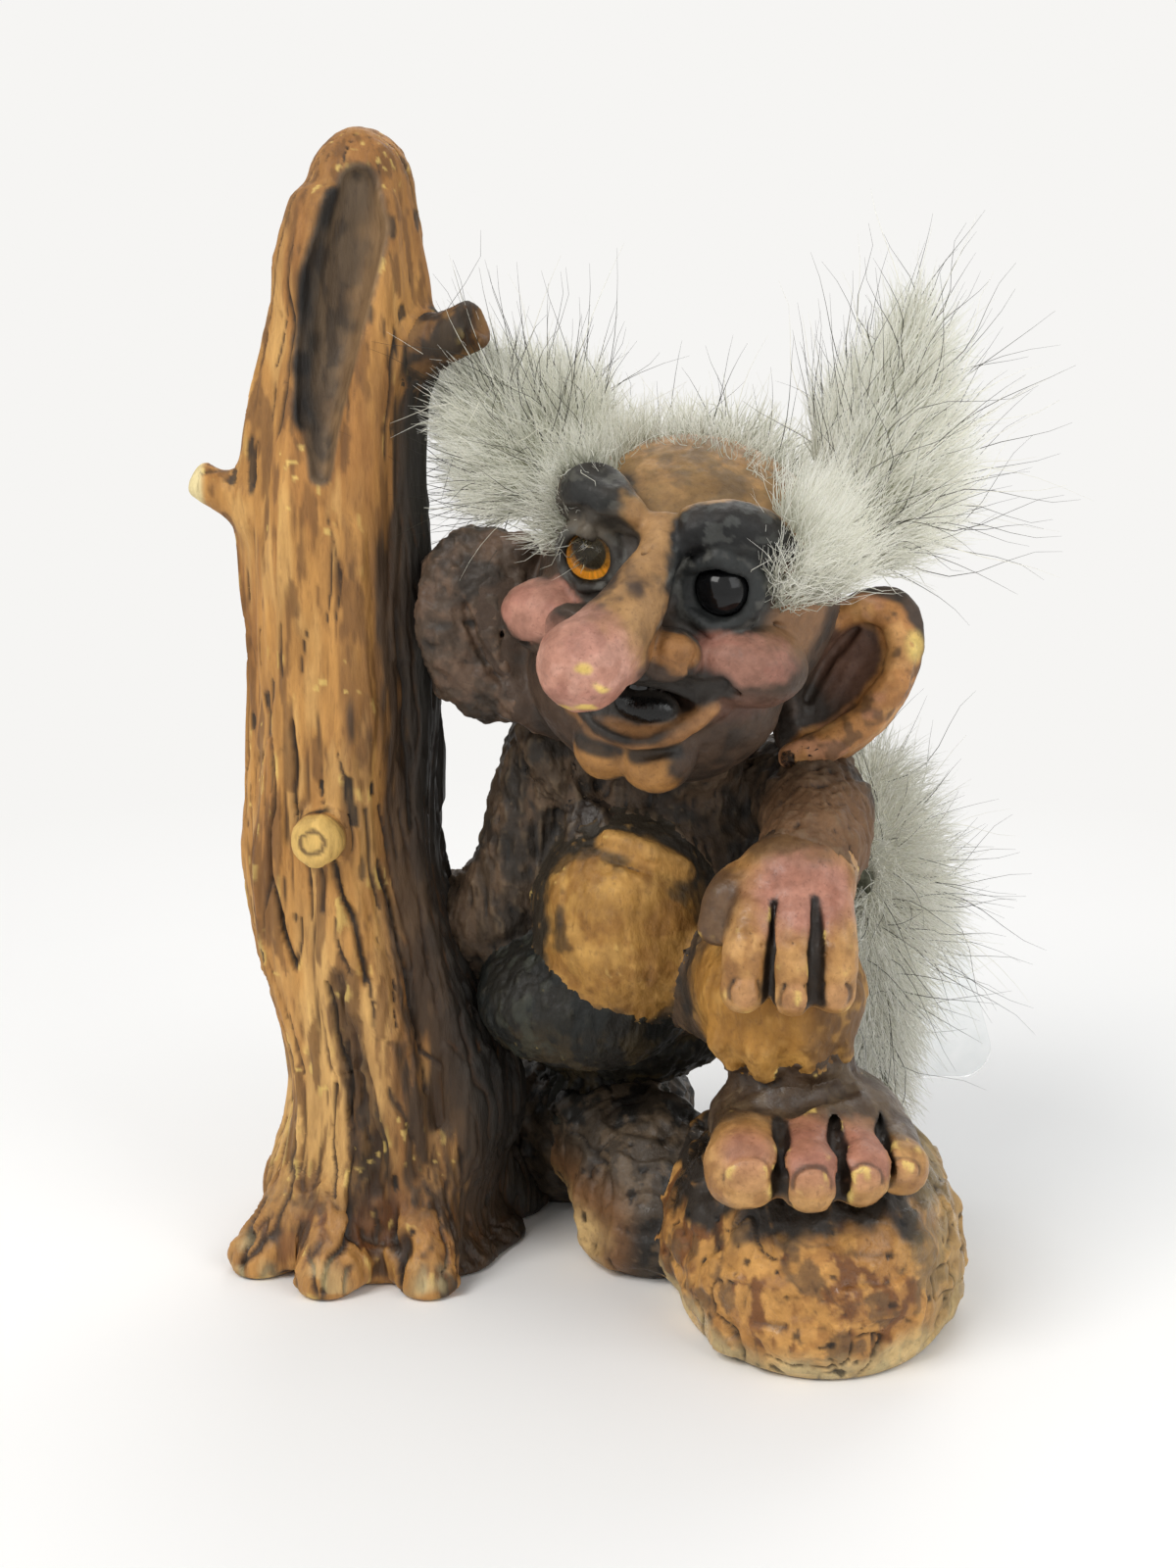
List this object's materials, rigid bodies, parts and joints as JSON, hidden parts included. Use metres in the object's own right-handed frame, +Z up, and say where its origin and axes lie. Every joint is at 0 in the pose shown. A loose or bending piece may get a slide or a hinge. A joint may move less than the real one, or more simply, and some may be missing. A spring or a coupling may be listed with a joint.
{
  "type": "troll figure",
  "caption": "Seated troll figure with glass eyes and fur hair on boulders beside a tall tree snag, with a swinging fur tail and a clear hang tag.",
  "frame": {"origin": "middle of the figure's plan, on the flat underside it stands on", "axes": "+Z up, -Y out of the figure's front, +X to the viewer's right, away from the snag"},
  "size_m": [0.1714, 0.1364, 0.232],
  "materials": {
    "bark": "painted foam latex, ochre over dark wash",
    "rock": "painted foam latex, ochre and dark brown",
    "skin": "painted foam latex, tan with pink highlights",
    "shirt": "painted foam latex, dark brown",
    "trousers": "painted foam latex, ochre and dark green",
    "button": "painted foam latex, near black",
    "tooth": "painted white",
    "eye_glass": "clear polished",
    "amber_iris": "amber behind glass",
    "dark_iris": "black behind glass",
    "fur": "long pale grey-green fur",
    "hide": "raw hide",
    "pin": "clear plastic pin",
    "tag": "clear plastic"
  },
  "bodies": {
    "figure": {"trunk": "bark", "trunk_twig": "bark", "trunk_branch": "bark", "trunk_knot": "bark", "seat_rock": "rock", "middle_rock": "rock", "foot_rock": "rock", "head": "skin", "left_ear": "skin", "right_ear": "skin", "left_hand": "skin", "left_foot": "skin", "left_shin": "skin", "torso": "shirt", "left_arm": "shirt", "right_arm": "shirt", "trouser_seat": "trousers", "trouser_bib": "trousers", "left_trouser_leg": "trousers", "right_trouser_leg": "trousers", "shoulder_strap": "trousers", "strap_button": "button", "teeth": "tooth", "right_eye_glass": "eye_glass", "left_eye_glass": "eye_glass", "right_eye_iris": "amber_iris", "left_eye_iris": "dark_iris", "hair_back": "fur", "hair_left": "fur", "hair_right": "fur", "hair_hide": "hide"},
    "tail": {"tail_core": "hide", "tail_fur": "fur", "tag_pin": "pin"},
    "tag": {"tag": "tag"}
  },
  "joints": [
    {"name": "tail_swing", "type": "hinge", "parent": "figure", "child": "tail", "pos_m": [0.03045, 0.02119, 0.08], "axis": [1, 0, 0], "range_deg": [-5, 25]},
    {"name": "tag_swing", "type": "hinge", "parent": "tail", "child": "tag", "pos_m": [0.06046, 0.03779, 0.062], "axis": [0, 1, 0], "range_deg": [-15, 15]}
  ]
}
